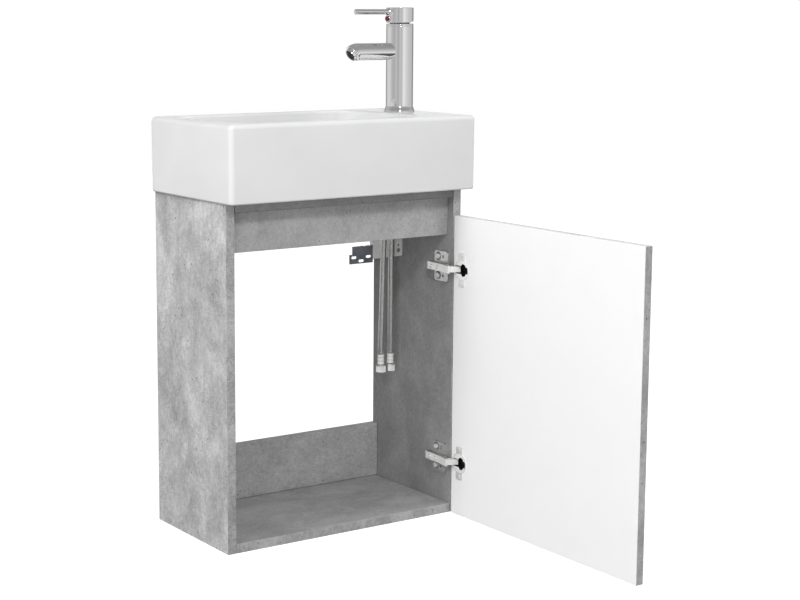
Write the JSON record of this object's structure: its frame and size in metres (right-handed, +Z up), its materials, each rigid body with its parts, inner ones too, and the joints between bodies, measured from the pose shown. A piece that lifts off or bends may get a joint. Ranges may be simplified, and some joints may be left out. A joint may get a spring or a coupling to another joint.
{
  "type": "vanity unit",
  "caption": "Narrow wall-hung vanity unit with a concrete-look cabinet, an open door on concealed hinges, a ceramic basin with a side tap ledge, a lever mixer tap and braided hoses.",
  "frame": {"origin": "on the wall plane, at the middle of the cabinet's width, at the height of its underside", "axes": "+X to the right seen from the front, +Y into the wall, +Z up; the front faces -Y"},
  "size_m": [0.46, 0.6752, 0.838],
  "materials": {
    "decor_board": "matt concrete-look melamine",
    "dowel_wood": "bare beech",
    "grey_plastic": "matt moulded",
    "dark_zinc": "dark zinc plate",
    "glazed_ceramic": "white gloss glaze",
    "rubber_seal": "matt",
    "white_plastic": "matt",
    "dark_plastic": "matt",
    "red_mark": "gloss",
    "brass_part": "turned",
    "chrome_plate": "polished",
    "steel_braid": "woven wire",
    "nickel_fitting": "nickel plate",
    "hinge_steel": "nickel plate"
  },
  "bodies": {
    "cabinet": {"left_side_panel": "decor_board", "right_side_panel": "decor_board", "bottom_panel": "decor_board", "top_front_stretcher": "decor_board", "top_rear_stretcher": "decor_board", "fascia_rail": "decor_board", "lower_back_rail": "decor_board", "carcass_dowels": "dowel_wood", "hanger_housing_left": "grey_plastic", "hanger_housing_right": "grey_plastic", "hanger_hook_left": "hinge_steel", "hanger_hook_right": "hinge_steel", "hanger_screws": "hinge_steel", "wall_plate_left": "dark_zinc", "wall_plate_right": "dark_zinc", "basin": "glazed_ceramic", "waste_flange": "chrome_plate", "waste_gasket": "rubber_seal", "waste_body": "brass_part", "waste_nut": "brass_part", "tap_body": "chrome_plate", "tap_base_ring": "chrome_plate", "tap_spout": "chrome_plate", "tap_aerator": "dark_plastic", "tap_cartridge": "white_plastic", "tap_cartridge_nut": "chrome_plate", "tap_stud": "brass_part", "tap_gasket": "rubber_seal", "tap_washer": "chrome_plate", "tap_nut": "brass_part", "hose_left": "steel_braid", "hose_right": "steel_braid", "hose_fittings": "nickel_fitting", "hose_ferrules": "nickel_fitting", "union_nuts": "nickel_fitting", "hinge_plate_upper": "hinge_steel", "hinge_plate_lower": "hinge_steel", "hinge_arm_upper": "hinge_steel", "hinge_arm_lower": "hinge_steel", "hinge_arm_pins": "hinge_steel", "hinge_plate_screws": "hinge_steel", "hinge_arm_screws": "hinge_steel"},
    "outer_links": {"outer_link_upper": "hinge_steel", "outer_link_lower": "hinge_steel"},
    "inner_links": {"inner_link_upper": "hinge_steel", "inner_link_lower": "hinge_steel"},
    "door": {"door_panel": "decor_board", "hinge_cup_upper": "hinge_steel", "hinge_cup_lower": "hinge_steel", "hinge_cup_pins": "hinge_steel", "hinge_cup_screws": "hinge_steel"},
    "tap_rotor": {"tap_rotor": "white_plastic"},
    "tap_handle": {"tap_stem": "chrome_plate", "tap_head": "chrome_plate", "tap_lever": "chrome_plate", "tap_mark": "red_mark"},
    "waste_plug": {"waste_plug": "chrome_plate"}
  },
  "joints": [
    {"name": "door_swing", "type": "hinge", "parent": "outer_links", "child": "door", "pos_m": [0.2073, -0.2394, 0], "axis": [0, 0, 1], "range_deg": [-124.2, 6.9]},
    {"name": "outer_link_turn", "type": "hinge", "parent": "cabinet", "child": "outer_links", "pos_m": [0.19789, -0.22316, 0], "axis": [0, 0, 1], "range_deg": [-2, 34.3]},
    {"name": "inner_link_turn", "type": "hinge", "parent": "cabinet", "child": "inner_links", "pos_m": [0.1913, -0.23697, 0], "axis": [0, 0, 1], "range_deg": [-2, 34.3]},
    {"name": "tap_swivel", "type": "hinge", "parent": "cabinet", "child": "tap_rotor", "pos_m": [0.186, -0.103, 0.8], "axis": [0, 0, 1], "range_deg": [-45, 45]},
    {"name": "tap_lift", "type": "hinge", "parent": "tap_rotor", "child": "tap_handle", "pos_m": [0.186, -0.103, 0.8056], "axis": [0, 1, 0], "range_deg": [0, 14]},
    {"name": "plug_press", "type": "slide", "parent": "cabinet", "child": "waste_plug", "axis": [0, 0, -1], "range_m": [0, 0.005]}
  ],
  "couplings": [
    {"joint": "outer_link_turn", "follows": "door_swing", "ratio": -0.27536},
    {"joint": "inner_link_turn", "follows": "door_swing", "ratio": -0.27536}
  ]
}
